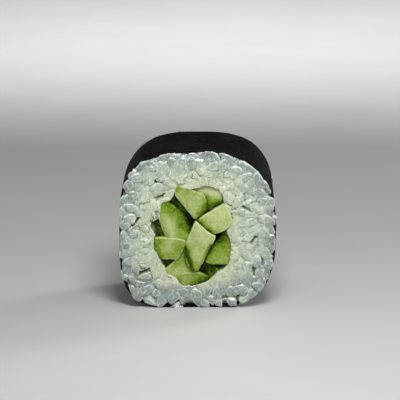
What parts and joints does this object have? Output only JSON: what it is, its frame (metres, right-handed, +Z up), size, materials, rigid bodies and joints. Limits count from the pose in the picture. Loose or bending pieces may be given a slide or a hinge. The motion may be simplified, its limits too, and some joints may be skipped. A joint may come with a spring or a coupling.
{
  "type": "cucumber sushi roll piece",
  "caption": "Cut piece of a thick sushi roll: a seaweed sheet round rice with bulging grains at both cuts, round a bundle of cucumber sticks that run through it.",
  "frame": {"origin": "on the surface that the piece rests on, under the middle of its bounding box", "axes": "+Z up, the roll's own axis along Y with the front cut face towards -Y, +X to the right as seen from the front"},
  "size_m": [0.04, 0.0274, 0.0408],
  "materials": {
    "nori": "roasted seaweed sheet, near black green, fine grain and a slight gloss",
    "rice": "cooked short-grain rice, moist, slightly translucent greenish white",
    "cucumber_flesh": "moist pale yellow-green cucumber flesh, greener towards the skin",
    "cucumber_skin": "dark green cucumber skin"
  },
  "bodies": {
    "root": {"nori_sheet": "nori", "rice": "rice", "cucumber_top": "cucumber_flesh", "cucumber_top_right": "cucumber_flesh", "cucumber_right": "cucumber_flesh", "cucumber_centre": "cucumber_flesh", "cucumber_upper_left": "cucumber_flesh", "cucumber_left": "cucumber_flesh", "cucumber_lower_left": "cucumber_flesh", "cucumber_bottom": "cucumber_flesh", "cucumber_lower_right": "cucumber_flesh", "cucumber_upper_left_skin": "cucumber_skin", "cucumber_left_skin": "cucumber_skin", "cucumber_low_left_skin": "cucumber_skin", "cucumber_low_right_skin": "cucumber_skin", "cucumber_right_skin": "cucumber_skin"}
  },
  "joints": []
}
